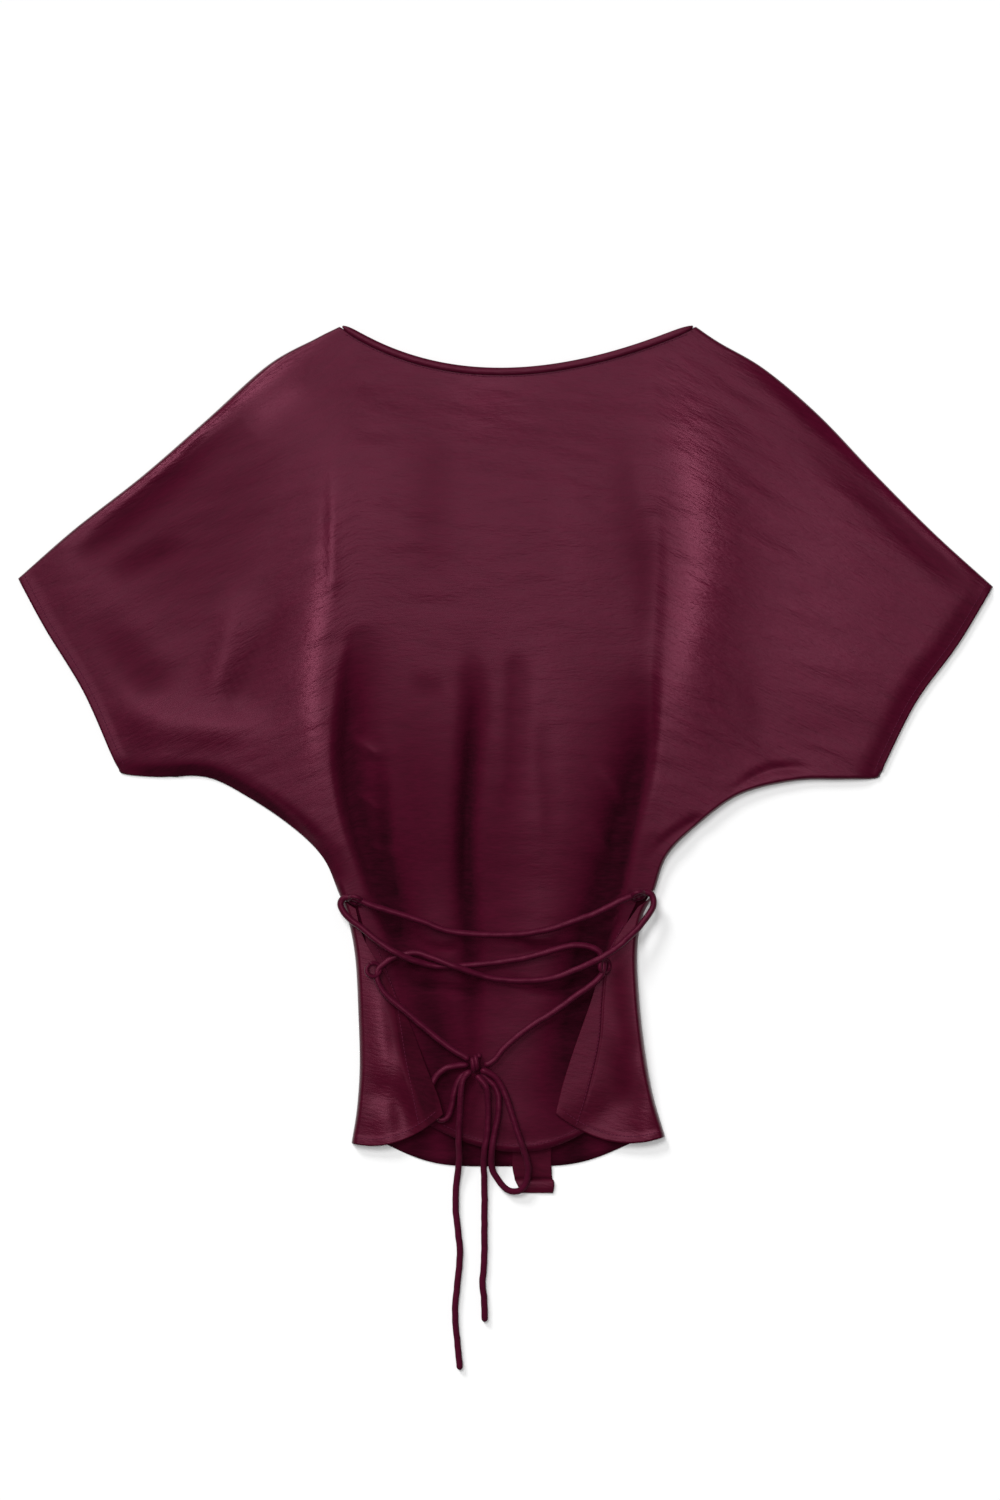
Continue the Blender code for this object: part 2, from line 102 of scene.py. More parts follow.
# Tie, loops and sewing
TIE_DIAMETER = 4.8
TIE_SIDES = 16
TIE_RING_SPACING = 1.1
DULL_FROM = -280        # below here the tie lies free of the cloth, and within DULL_FADE mm gets duller
DULL_FADE = 30
DULL_END = 0.5
LOOP_DIAMETER = 3.4
LOOP_RADIUS = 4.8
BINDING_WIDTH = 5.7
BINDING_HEIGHT = 2.3
SEAM_GAP = 0.3
STITCH_PITCH = 2.8
STITCH_LENGTH = 2.2
STITCH_INSET = 0.8      # how far inside the hem's inner edge its stitches run
SEAM_STITCH_INSET = 1.3         # how far beside a facing's seam
NECK_STITCH_INSET = 1.0         # and how far below the neck's binding
HEM_SEEN = slice(16, 65)        # the points of the tongue's hem that show between the flaps
THREAD = 0.6            # the thread's diameter, twice the real one so that it shows
KNOT_GIRTH = 3.8        # the tie is squeezed to this where it is knotted
KNOT_HALF_TURNS = (0.1, 4.3)    # where its coil starts and ends
KNOT_ADVANCE = 1.25     # how far each half turn moves on
KNOT_WIDTH = 4.6        # half width and half height of the coil
KNOT_HEIGHT = 2.6

# Satin: slubs and crinkles a metre along x, y and z, so a slub is 8 mm long and 2 mm from the next
SLUBS = (130, 540, 400)
CRINKLES = (45, 120, 80)
CRINKLE_SHARE = 0.4
WEAVE_TONES = (0.68, 1.32)      # the weave goes between these multiples of the dye's colour
SHADE_FROM = 0.55       # painted shade beyond this also paints the colour darker, down to SHADE_TONE less at SHADE_FULL
SHADE_FULL = 1.35
SHADE_TONE = -0.6
PAINTED_RIDGE_HIGHLIGHT = 0.28       # painted highlight: the brightest ridge is painted this much lighter
SLUB_ROUGHNESS = (-0.04, 0.06)  # what the slubs take from the roughness, or add to it
RIDGE_ROUGHNESS = -0.18         # what the brightest ridge adds to the roughness
HOLLOW_ROUGHNESS = 0.62         # and what a hollow adds, in full at DULL_HOLLOW
DULL_HOLLOW = 0.6

# Lights: bearing from +Y towards +X, elevation and spread in degrees, and strength
LIGHTS = {
    "high_softbox": (-10, 86, 19, 1.25),
    "key": (-30, 58, 24, 1.75),
    "low_softbox": (-32, 30, 14, 1.6),
}
WORLD_STRENGTH = 0.16

# Rows of the near panel from the neck down: left edge, middle and right edge of each row
Row = namedtuple("Row", "left_x left_y mid_x mid_y right_x right_y")

SHOULDER_ROWS = (
    Row(-123, 318.5, -4, 283.5, 141, 318.5),
    Row(-140, 310, 2, 276, 158, 307),
    Row(-176, 290, 4, 262, 192, 287),
    Row(-222, 249, 2, 240, 232, 253),
    Row(-269, 208, 0, 215, 275, 208),
    Row(-320, 168, 0, 190, 318, 165),
    Row(-361, 132, 0, 165, 361, 126),
)
CUFF_ROWS = (
    SHOULDER_ROWS[-1],
    Row(-341, 95, 0, 128, 335, 83),
    Row(-313, 49, 0, 85, 305, 42),
    Row(-292.5, 3, 0, 36, 283.5, 0),
    Row(-287.2, -8, 0, 25, 278.6, -11.5),
)
UNDERARM_ROWS = (
    CUFF_ROWS[-1],
    Row(-282.5, -12.8, 0, 20, 273.5, -16.2),
    Row(-258, -15, 0, -2, 250, -17),
    Row(-222, -15, 0, -20, 214, -18),
    Row(-192, -29, 0, -40, 174, -28),
    Row(-158, -52, 0, -60, 143, -50),
    Row(-135, -75, -2, -80, 120, -73),
    Row(-122.5, -103.5, -5, -106, 110.5, -98.5),
)
TONGUE_ROWS = (
    Row(-109.5, -111, -5, -113, 97, -107),
    Row(-104, -133, -6, -135, 88, -130),
    Row(-100, -170, -7, -178, 87, -166),
    Row(-97, -210, -4, -225, 88, -206),
    Row(-90, -250, 8, -292.5, 88, -252),
)

# Rows of the flaps from the waist down: edge at the side, free inner edge, and how far the row bows down
FlapRow = namedtuple("FlapRow", "side_x side_y inner_x inner_y bow")

LEFT_FLAP_ROWS = (
    FlapRow(-121.5, -105.5, -111, -112, 0),
    FlapRow(-115, -127, -105, -134, 0),
    FlapRow(-111, -152, -90, -160, 1),
    FlapRow(-109, -190, -73, -192, 2),
    FlapRow(-108, -228, -59, -228, 5),
    FlapRow(-110, -260, -50, -250, 8),
    FlapRow(-114, -286, -46, -264, 10),
)
RIGHT_FLAP_ROWS = (
    FlapRow(108.5, -104, 98, -111, 0),
    FlapRow(101, -120, 85, -130, 0),
    FlapRow(97.5, -145, 73, -150, 1),
    FlapRow(99, -180, 62, -184, 2),
    FlapRow(103, -216, 51, -215, 5),
    FlapRow(109, -250, 42, -243, 9),
    FlapRow(118, -281, 37, -264, 12),
)
FAR_HEM_MIDDLE = (0, -303.4)
FAR_HEM_RISE = 24.0     # how far the far hem rises towards both sides, under the flaps
FAR_HEM_REACH = 1.05    # share of the half width at which it would be up

# Tab below the hem: left edge, right edge and top height of each row
TabRow = namedtuple("TabRow", "left_x right_x y top")

TAB_ROWS = (
    TabRow(5, 34, -272, 2.4),
    TabRow(5, 34, -290, 2.4),
    TabRow(5, 34, -303, 2.2),
    TabRow(6.4, 34.5, -311, 1.3),
    TabRow(6.8, 35.0, -313, 1.3),
    TabRow(7.2, 35.8, -314, 2.2),
    TabRow(9.4, 36, -318.5, 2.1),
    TabRow(11.4, 35.2, -323.1, 1.3),
)

TAB_CREASE = (-312, -314.5)     # the crease above the tab's turned-up end, and where that end begins

# Folds: half widths on the left and right of the line as it runs down, height (a trough is below zero), how
# round it is (2 is round, 1 comes to a crease), and the line. Where a line runs to the right, its left is the
# lower side
Fold = namedtuple("Fold", "left right height power line")

NEAR_FOLDS = (
    # Ridges over the armholes, and the deep hollows inside them
    Fold(34, 20, 2.4, 2, ((-122, 330), (-126, 220), (-136, 134), (-145, 58), (-142, -5), (-128, -100))),
    Fold(2.5, 5, 0.5, 1.6, ((-129, 235), (-129, 203), (-129, 165), (-129, 129), (-131, 95))),
    Fold(4.5, 15, -11.0, 1.7,
         ((-109, 106), (-111, 80), (-116, 45), (-119, 0), (-113, -42), (-100, -85), (-88, -118), (-78, -150),
          (-72, -190))),
    Fold(7, 4, -4.5, 1.7, ((-99, 34), (-92, -5), (-89, -40), (-87, -75), (-82, -110), (-76, -150))),
    Fold(30, 34, 2.6, 2,
         ((116, 340), (124, 285), (131, 259), (141, 206), (146, 153), (139, 100), (131, 47), (126, -6),
          (114, -100))),
    Fold(17, 4.5, -13.5, 1.7,
         ((109, 92), (106, 42), (101, -6), (91, -53), (80, -106), (70, -140), (62, -200), (58, -250))),
    Fold(13, 6, -1.2, 2, ((111, 215), (111, 170), (110, 130), (109, 95), (105, 30))),
    # Small crumples inside the hollows
    Fold(4, 5, 2.6, 1.8, ((-124, 30), (-112, 14), (-98, 4), (-88, 0))),
    Fold(4, 5, 2.4, 1.8, ((-124, -14), (-110, -26), (-96, -36), (-86, -40))),
    Fold(4, 4, 2.2, 1.8, ((-114, -56), (-100, -64), (-88, -70), (-78, -72))),
    Fold(5, 4, 2.4, 1.8, ((66, -4), (78, -18), (88, -36), (92, -50))),
    Fold(5, 4, 2.4, 1.8, ((58, -46), (70, -62), (79, -80), (82, -92))),
    # Middle trough, and the shallow troughs and soft ridges on both sides of it
    Fold(7, 6.5, -8.2, 1.8,
         ((-27, 88), (-25, 66), (-23, 44), (-24, 20), (-26, 0), (-29, -47), (-29, -85), (-26, -130),
          (-23, -208), (-20, -290))),
    Fold(7, 9, -1.2, 1.8, ((10, 84), (9, 72), (8, 60), (6, -9), (2, -34), (2, -80))),
    Fold(7, 8, -0.7, 1.8, ((34, 60), (28, 10), (33, -40), (30, -90))),
    Fold(7, 6, -0.9, 2, ((-76, 60), (-64, 54), (-54, 50), (-44, 52))),
    Fold(20, 20, 1.4, 2, ((-64, 90), (-58, -40), (-52, -120), (-50, -230))),
    Fold(24, 30, 2.0, 2, ((22, 150), (28, -40), (26, -130), (22, -270))),
    # Creases that the tie presses across the waist
    Fold(2.6, 2.2, -3.4, 1.8, ((-22, -131), (1, -135), (25, -140), (44, -140), (64, -136))),
    Fold(3.0, 2.4, -3.6, 1.8, ((-76, -164), (-62, -169), (-46, -170), (-27, -173), (-13, -172))),
    Fold(3.0, 2.4, -3.6, 1.8, ((-4, -169), (6, -167), (30, -172), (54, -170), (66, -162))),
    Fold(2.6, 2.4, -2.8, 1.8, ((-66, -134), (-54, -140), (-42, -141), (-30, -138))),
    Fold(2.2, 2.2, -2.2, 1.8, ((-4, -147), (14, -143), (34, -138), (46, -134))),
    # Below the neck
    Fold(26, 26, 1.6, 2, ((-20, 310), (-20, 268), (-18, 225))),
    # Left sleeve: a trough inside the shoulder's rim, and slanting folds
    Fold(8, 12, -3.0, 1.8, ((-182, 266), (-210, 246), (-242, 209), (-268, 187), (-300, 160), (-322, 142))),
    Fold(9, 9, -1.6, 2, ((-232, 162), (-250, 153), (-272, 142), (-298, 132))),
    Fold(10, 8, 1.7, 2, ((-190, 130), (-202, 100), (-212, 66), (-224, 34))),
    Fold(5, 9, -1.9, 1.7, ((-160, 124), (-180, 88), (-196, 56), (-212, 34))),
    Fold(13, 13, -1.5, 2, ((-322, 108), (-290, 84), (-266, 58), (-244, 40))),
    Fold(18, 14, 2.2, 2, ((-316, 30), (-270, 28), (-220, 24), (-150, 10))),
    # Right sleeve
    Fold(70, 60, 1.4, 2, ((200, 290), (236, 120), (250, 0))),
    Fold(9, 9, -2.6, 1.8, ((206, 252), (240, 222), (280, 186), (312, 156), (336, 133), (356, 114))),
    Fold(10, 10, -0.5, 2, ((180, 72), (188, 40), (196, 8))),
    Fold(3.5, 3.5, -1.1, 1.8, ((160, -30), (180, -17), (196, -10), (214, -8), (230, -10))),
    Fold(3.5, 3.5, -1.2, 1.8, ((102, -76), (120, -60), (136, -50), (150, -44))),
)
# Ripples: distance from wave to wave, distance over which they come and go, height, and where they start
RIPPLES = ((12, 47, 0.06, 0.3), (19, 71, 0.10, 1.9), (31, 97, 0.17, 4.0))
DROOP = 0.45            # how steeply the weft runs down towards the cuffs
DROOP_START = 110       # and how far from the middle this begins

# Edges where the cloth lies lower: how far in, what share of the height is lost, and the line
OpenEdge = namedtuple("OpenEdge", "reach loss line")

OPEN_EDGES = (
    OpenEdge(60, 0.92, ((-123, 318), (-62, 293), (-4, 284), (70, 294), (141, 318))),
    OpenEdge(24, 0.6, ((-361, 132), (-341, 95), (-313, 49), (-285, -12))),
    OpenEdge(9, 0.8, ((361, 126), (335, 83), (305, 42), (276, -15))),
    OpenEdge(14, 0.45, ((-90, -250), (-46, -280), (8, -292), (50, -281), (88, -252))),
    OpenEdge(8, 0.8, ((141, 318), (192, 287), (232, 253), (275, 208), (318, 165), (361, 126))),
    OpenEdge(24, 0.5, ((-118, -287), (-100, -286), (-84, -283))),
    OpenEdge(24, 0.5, ((120, -282), (102, -283), (84, -282))),
    OpenEdge(7, 0.8, ((-300, -8), (-258, -15), (-222, -15), (-192, -29), (-158, -52), (-132, -78))),
)
# Seams of the flaps' facings, and the folds of the flaps
FLAP_SEAMS = {
    "left": ((-97, -140), (-89, -160), (-81.8, -182), (-75.9, -218.5), (-71.4, -241.4), (-65.5, -272)),
    "right": ((88, -125), (76, -150), (72, -180), (69.9, -209.6), (62, -245), (53.6, -273)),
}
FLAP_FOLDS = (
    Fold(12, 9, 1.5, 2, ((-101, -120), (-96, -165), (-91, -220), (-86, -280), (-82, -350))),
    Fold(14, 14, 7.2, 2, ((-76, -204), (-61, -238), (-54, -262), (-47, -296))),
    Fold(10, 12, 1.3, 2, ((100, -110), (96, -165), (99, -225), (106, -285), (110, -350))),
    Fold(0.9, 0.9, -0.6, 2, FLAP_SEAMS["left"]),
    Fold(0.9, 0.9, -0.6, 2, FLAP_SEAMS["right"]),
)

# Painted shade, and above zero painted highlight: as folds, but only the satin's colour and gloss follow them
FLAP_SHADE = (
    Fold(15, 13, 2.6, 2, ((-106, -120), (-102, -165), (-92, -220), (-89, -280), (-88, -350))),
    Fold(16, 16, 0.8, 2, ((-116, -262), (-98, -276), (-76, -282), (-56, -280))),
    Fold(12, 12, 1.6, 2, ((104, -110), (104, -165), (108, -225), (112, -285), (114, -350))),
    Fold(14, 14, 1.6, 2, ((52, -258), (74, -274), (96, -280), (120, -272))),
    Fold(6, 13, -6.0, 2, ((-104, -120), (-92, -158), (-76, -202), (-66, -236), (-59, -260), (-52, -300))),
    Fold(9, 12, -12.0, 2, ((-80, -190), (-66, -228), (-57, -256), (-48, -300))),
    Fold(5, 4, -2.5, 2, ((-108, -150), (-106, -200), (-104, -250))),
    Fold(10, 10, -5.0, 2, ((80, -195), (86, -222), (88, -240), (82, -262))),
    Fold(6, 9, -3.4, 2, ((84, -130), (84, -165), (90, -205), (97, -225))),
    Fold(5, 4, -2.4, 2, ((108, -235), (101, -250), (96, -262))),
)
NEAR_SHADE = (
    Fold(6, 8, 6.4, 2, ((-129, 245), (-134, 160), (-141, 100), (-146, 52), (-142, -60))),
    Fold(15, 17, 4.4, 2,
         ((116, 320), (124, 285), (131, 259), (141, 206), (146, 153), (139, 100), (131, 47), (124, -40))),
    Fold(6, 6, 8.0, 2, ((-125, 316), (-150, 300), (-205, 258), (-262, 209), (-345, 141))),
    Fold(11, 11, 3.8, 2, ((-140, 276), (-165, 264), (-194, 242))),
    Fold(5, 5, 6.0, 2, ((150, 308), (200, 275), (262, 217), (330, 153), (356, 128))),
    Fold(30, 30, 1.6, 2, ((0, -160), (2, -230), (6, -330))),
    Fold(3.4, 3.4, 4.0, 2, ((-80, -263), (-48, -280), (8, -289.5), (52, -280), (80, -264))),
    Fold(14, 14, 2.0, 2, ((125, -62), (160, -28), (208, -4), (280, 0))),
    Fold(80, 70, 1.3, 2, ((215, 280), (255, 130), (262, -30))),
    Fold(16, 22, 2.2, 2, ((345, 120), (318, 78), (300, 40), (286, 0))),
    Fold(28, 26, 1.0, 2, ((-10, 300), (0, 262), (10, 220))),
    Fold(14, 14, 0.9, 2, ((38, 260), (47, 170), (52, 70))),
    Fold(12, 12, -0.6, 2, ((88, 270), (91, 190), (97, 110))),
    Fold(16, 16, -0.5, 2, ((-46, 270), (-54, 200), (-56, 110))),
    Fold(14, 14, 0.7, 2, ((-90, 300), (-98, 220), (-99, 130))),
    Fold(60, 60, -0.8, 2, ((-140, 290), (-215, 180), (-290, 110))),
    Fold(26, 22, -2.0, 2, ((-72, 90), (-66, 0), (-62, -60), (-58, -130))),
    Fold(16, 14, -6.0, 2, ((-70, -118), (-60, -170), (-47, -230), (-36, -292))),
    Fold(18, 16, -6.5, 2, ((76, -100), (64, -160), (48, -215), (34, -285))),
    Fold(6, 5, -13.0, 2,
         ((-300, 0), (-278, -8), (-256, -11), (-222, -11), (-192, -25), (-160, -48), (-140, -66))),
    Fold(8, 8, -6.0, 2, ((-144, -54), (-132, -76), (-122, -98))),
)

# Route of the tie from the knot's left side through the four loops to its right side: x, y and z
LACING_ROUTE = (
    (-26.8, -223.4, 15.2), (-42, -214.5, 13.7), (-58, -201.5, 13.4), (-74, -188, 14), (-87, -177, 14.2),
    (-94, -167, 14.5), (-94.5, -158, 14), (-87.5, -151, 12.6), (-79, -147, 12.4), (-66, -145, 13),
    (-54, -148.5, 15.5), (-46, -151.5, 17.6), (-38, -154.5, 18.4), (-29, -157.8, 16.6),
    (-18, -161.5, 14.4), (-5, -164.3, 13.8), (14, -165.5, 14.2), (36, -163, 14.4), (57, -155, 16),
    (70, -148.5, 18.6), (82, -141, 17.5), (96, -128.5, 14), (106, -116, 12), (109.5, -108, 11.2),
    (107.5, -101.5, 11.4), (101, -100.4, 12), (86, -106, 13.5), (67.5, -115, 14), (50, -121.5, 14.6),
    (34.6, -126.6, 15), (10, -131, 15.4), (-20, -131, 15.2), (-42.7, -128.5, 15), (-60, -122, 14.4),
    (-80.5, -115.5, 14), (-98, -110, 14), (-112, -104.4, 12.6), (-119.5, -104.6, 11),
    (-121.8, -110, 10.4), (-117, -118, 11.8), (-105, -127.5, 14.4), (-93, -137, 17), (-82, -144, 18.4),
    (-70, -149.6, 16.4), (-58, -153.3, 13.6), (-46, -155, 13), (-34, -154.6, 12.9), (-20, -153.2, 13.2),
    (-8, -152, 13.4), (13, -148.8, 14), (34.6, -143, 14.4), (48, -139.6, 14.2), (60, -139.8, 13.8),
    (68.5, -143.5, 13.4), (72, -150.5, 13.2), (72, -158, 14), (66.5, -166, 14.2), (50.7, -177.6, 13.8),
    (34.6, -189, 13.6), (18, -199.5, 13.8), (1, -213, 14), (-9, -224.5, 14.4), (-15.5, -228, 14.8),
)
BOW_ROUTES = {
    "bow_loop_left": (
        (-27.4, -227.6, 11.4), (-39.6, -228.8, 12), (-47, -232, 12), (-52.5, -238, 11.9),
        (-55.5, -247, 11.8), (-55, -257, 11), (-52.4, -264.5, 10.2), (-47.6, -268.6, 10),
        (-42.6, -266, 10.3), (-39.6, -257.5, 11), (-37.8, -247.5, 11.8), (-33.4, -237.6, 11.8),
        (-26.6, -232.8, 11.8),
    ),
    "bow_loop_right": (
        (-18.3, -231.8, 16.5), (-13.3, -232.8, 16), (-7, -237.3, 14.6), (-1.3, -246.6, 13.4),
        (3.3, -259.6, 13.2), (7.8, -274.4, 12.4), (12.4, -287.3, 11.5), (15.6, -297.5, 8.8),
        (16.8, -306.5, 6.6), (15.2, -315, 5.4), (11.5, -320.3, 4.9), (6.1, -322, 3.8), (0.4, -320, 2.9),
        (-5, -314, 3), (-9.3, -306.6, 4.4), (-10.5, -298, 7.6), (-9.8, -289, 10.4), (-8.2, -278, 11.2),
        (-6, -268.8, 12), (-5, -259.6, 12.6), (-5.2, -251, 12.6), (-8.5, -243, 12.4),
        (-15.5, -236, 12.6), (-17.8, -233.6, 12.9),
    ),
    "bow_end_left": (
        (-25.6, -231.8, 17.6), (-30, -236, 17.4), (-32.4, -243, 17.2), (-33.2, -252, 16),
        (-33.8, -264, 13.8), (-34.4, -276, 11.4), (-34.6, -285, 10), (-34.3, -295, 6.8),
        (-35, -305, 4.4), (-36.4, -317, 2.7), (-36.9, -335.4, 2.5), (-34.8, -354.6, 2.5),
        (-33.7, -368, 2.5), (-35.4, -387, 2.5), (-37.3, -408, 2.5), (-37, -422, 2.5),
        (-35.3, -438, 2.5), (-33.7, -453.5, 2.5),
    ),
    "bow_end_right": (
        (-21.4, -235.4, 15.4), (-17.5, -239.5, 16.4), (-14, -245, 16.6), (-12.8, -256, 14),
        (-12.9, -268.8, 12), (-13.8, -280, 10.8), (-15.5, -290, 9.8), (-16.2, -299, 6.8),
        (-16, -309, 4.2), (-15.8, -320, 2.7), (-15.6, -336, 2.5), (-15.9, -372.4, 2.5),
        (-17, -390, 2.5), (-15.9, -402, 2.5), (-15.5, -418, 2.5),
    ),
}
KNOT_CENTRE = (-22, -227.8, 14.5)
BINDING_LINE = ((-120.5, 318.6), (-4, 285.2), (138.5, 318.6))

# Loops that hold the tie: the centre of each ring, and its lean and the way it leans, in degrees
Loop = namedtuple("Loop", "x y z lean heading")

LOOPS = {
    "waist_loop_left": Loop(-111, -106, 11.6, 62, -16),
    "waist_loop_right": Loop(98, -102.5, 11.6, 62, 17),
    "flap_loop_left": Loop(-97.6, -157.4, 15.4, 20, 122),
    "flap_loop_right": Loop(73.2, -154.5, 13.0, 48, 92),
}


def linear(hex_colour):
    """An sRGB hex colour as linear red, green, blue and full alpha."""
    value = np.array([int(hex_colour[k:k + 2], 16) for k in (1, 3, 5)]) / 255
    value = np.where(value <= 0.04045, value / 12.92, ((value + 0.055) / 1.055) ** 2.4)
    return (*value, 1.0)


def add_node(tree, kind, settings=None, *ordered, **named):
    """Adds one node. Its inputs come in their order or by name: a value, or another node's output to link."""
    node = tree.nodes.new("ShaderNode" + kind)
    for name, value in (settings or {}).items():
        setattr(node, name, value)
    inputs = dict(enumerate(ordered))
    inputs.update({name.replace("_", " "): value for name, value in named.items()})
    for key, value in inputs.items():
        if isinstance(value, bpy.types.NodeSocket):
            tree.links.new(value, node.inputs[key])
        else:
            node.inputs[key].default_value = value
    return node


# Camera and tie come first


def add_camera():
    """Looks straight down, at the distance where the frame is as tall as the photographed surface."""
    camera = bpy.data.objects.new("camera", bpy.data.cameras.new("camera"))
    camera.data.lens = LENS
    camera.data.sensor_width = SENSOR
    camera.data.clip_end = FAR_CLIP
    distance = LENS / SENSOR * FRAME_HEIGHT * PIXEL
    camera.location = [value * MM for value in (*FRAME_CENTRE, CLOTH_HEIGHT + distance)]
    bpy.context.scene.collection.objects.link(camera)
    bpy.context.scene.camera = camera


def smooth(rows, steps):
    """Catmull-Rom curve through the rows, with the ends continued straight: steps points to a span."""
    rows = np.asarray(rows, float)
    padded = np.vstack([2 * rows[0] - rows[1], rows, 2 * rows[-1] - rows[-2]])
    place = np.linspace(0, len(rows) - 1, (len(rows) - 1) * steps + 1)
    span = np.minimum(place.astype(int), len(rows) - 2)
    t = (place - span)[:, None]
    before, start, end, after = (padded[span + k] for k in range(4))
    return 0.5 * (
        2 * start
        + (end - before) * t
        + (2 * before - 5 * start + 4 * end - after) * t**2
        + (3 * start - before - 3 * end + after) * t**3
    )


def length_along(points):
    """Distance from the first point to each point, along the line."""
    return np.concatenate([[0], np.cumsum(np.linalg.norm(np.diff(points, axis=0), axis=1))])


def evenly(points, spacing):
    """Points at about this spacing along the line through these points."""
    along = length_along(points)
    count = max(int(round(along[-1] / spacing)), 2) + 1
    wanted = np.linspace(0, along[-1], count)
    return np.stack([np.interp(wanted, along, column) for column in points.T], axis=1)


def add_mesh(name, points, faces, material):
    """A smooth mesh of these points, in mm, that rides on the part and takes its finish from the slot."""
    mesh = bpy.data.meshes.new(name)
    mesh.from_pydata((np.asarray(points) * MM).tolist(), [], faces)
    mesh.shade_smooth()
    mesh.materials.append(material)
    obj = bpy.data.objects.new(name, mesh)
    bpy.context.scene.collection.objects.link(obj)
    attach(obj, "root")
    return obj


def tube_faces(rings, sides):
    """Quads between rings of points, wound so that they face outwards, and the fans that close both ends."""
    index = np.arange(rings * sides).reshape(rings, sides)
    turned = np.roll(index, -1, axis=1)
    quads = np.stack([index[:-1], turned[:-1], turned[1:], index[1:]], axis=-1).reshape(-1, 4)
    first, last = rings * sides, rings * sides + 1
    fans = np.vstack([
        np.stack([np.full(sides, first), turned[0], index[0]], axis=-1),
        np.stack([np.full(sides, last), index[-1], turned[-1]], axis=-1),
    ])
    return quads.tolist() + fans.tolist()


def swept(path, across, upward, reference=(0, 0, 1)):
    """Points of a closed tube: round each point of the path stands an ellipse, square to the path.

    across and upward are its half axes, as arrays of ring by side, so that the skin can be uneven. The
    ellipse's upward axis leans as little as it can from the reference direction.
    """
    rings, sides = across.shape
    along = np.gradient(path, axis=0)
    along /= np.linalg.norm(along, axis=1, keepdims=True)
    side = np.cross(along, np.broadcast_to(reference, along.shape))
    side /= np.linalg.norm(side, axis=1, keepdims=True)
    up = np.cross(side, along)
    angle = np.linspace(0, 2 * np.pi, sides, endpoint=False)
    skin = (
        path[:, None]
        + (across * np.cos(angle))[..., None] * side[:, None]
        + (upward * np.sin(angle))[..., None] * up[:, None]
    )
    first_tip = path[0] - along[0] * across[0].mean() * 0.5
    last_tip = path[-1] + along[-1] * across[-1].mean() * 0.5
    return np.vstack([skin.reshape(-1, 3), first_tip, last_tip])


def rouleau_skin(length, rings, seed):
    """Radius of a turned tube of bias cloth, ring by side.

    Three sine waves along it make soft creases, a groove that wanders round it is its seam, and a circle's
    quarter closes each tip.
    """
    rng = np.random.default_rng(seed)
    s = np.linspace(0, length, rings)[:, None]
    angle = np.linspace(0, 2 * np.pi, TIE_SIDES, endpoint=False)[None]
    radius = np.full((rings, TIE_SIDES), TIE_DIAMETER / 2)
    for wave, share in ((9.0, 0.022), (17.0, 0.03), (43.0, 0.03)):
        start, lean = rng.uniform(0, 2 * np.pi, 2)
        radius *= 1 + share * np.sin(2 * np.pi * s / wave + angle * np.sign(lean - np.pi) + start)
    seam = rng.uniform(0, 2 * np.pi) + s / 60
    gap = np.abs(np.angle(np.exp(1j * (angle - seam))))
    radius *= 1 - 0.07 * np.exp(-((gap / 0.3) ** 2))
    tip = np.minimum(s, length - s) / (TIE_DIAMETER / 2)
    return radius * np.sqrt(1 - (1 - np.clip(tip + 0.15, 0, 1)) ** 2)


def set_painted_shade(obj, depth):
    """Keeps each point's painted shade: above zero the satin is made duller and, beyond SHADE_FROM, painted
    darker; below zero it is painted lighter and glossier.
    """
    layer = obj.data.attributes.new("painted_shade", "FLOAT", "POINT")
    layer.data.foreach_set("value", np.asarray(depth, np.float32).ravel())


def add_rouleau(name, route, material, seed):
    """A length of the tie along a smooth curve through the route's points, with its path and its length."""
    path = evenly(smooth(route, 10), TIE_RING_SPACING)
    length = length_along(path)[-1]
    radius = rouleau_skin(length, len(path), seed)
    points = swept(path, radius, radius * 0.97)
    obj = add_mesh(name, points, tube_faces(*radius.shape), material)
    set_painted_shade(obj, DULL_END * np.clip((DULL_FROM - points[:, 1]) / DULL_FADE, 0, 1))
    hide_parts(name.replace("_cord", ""))
    return obj, path, length


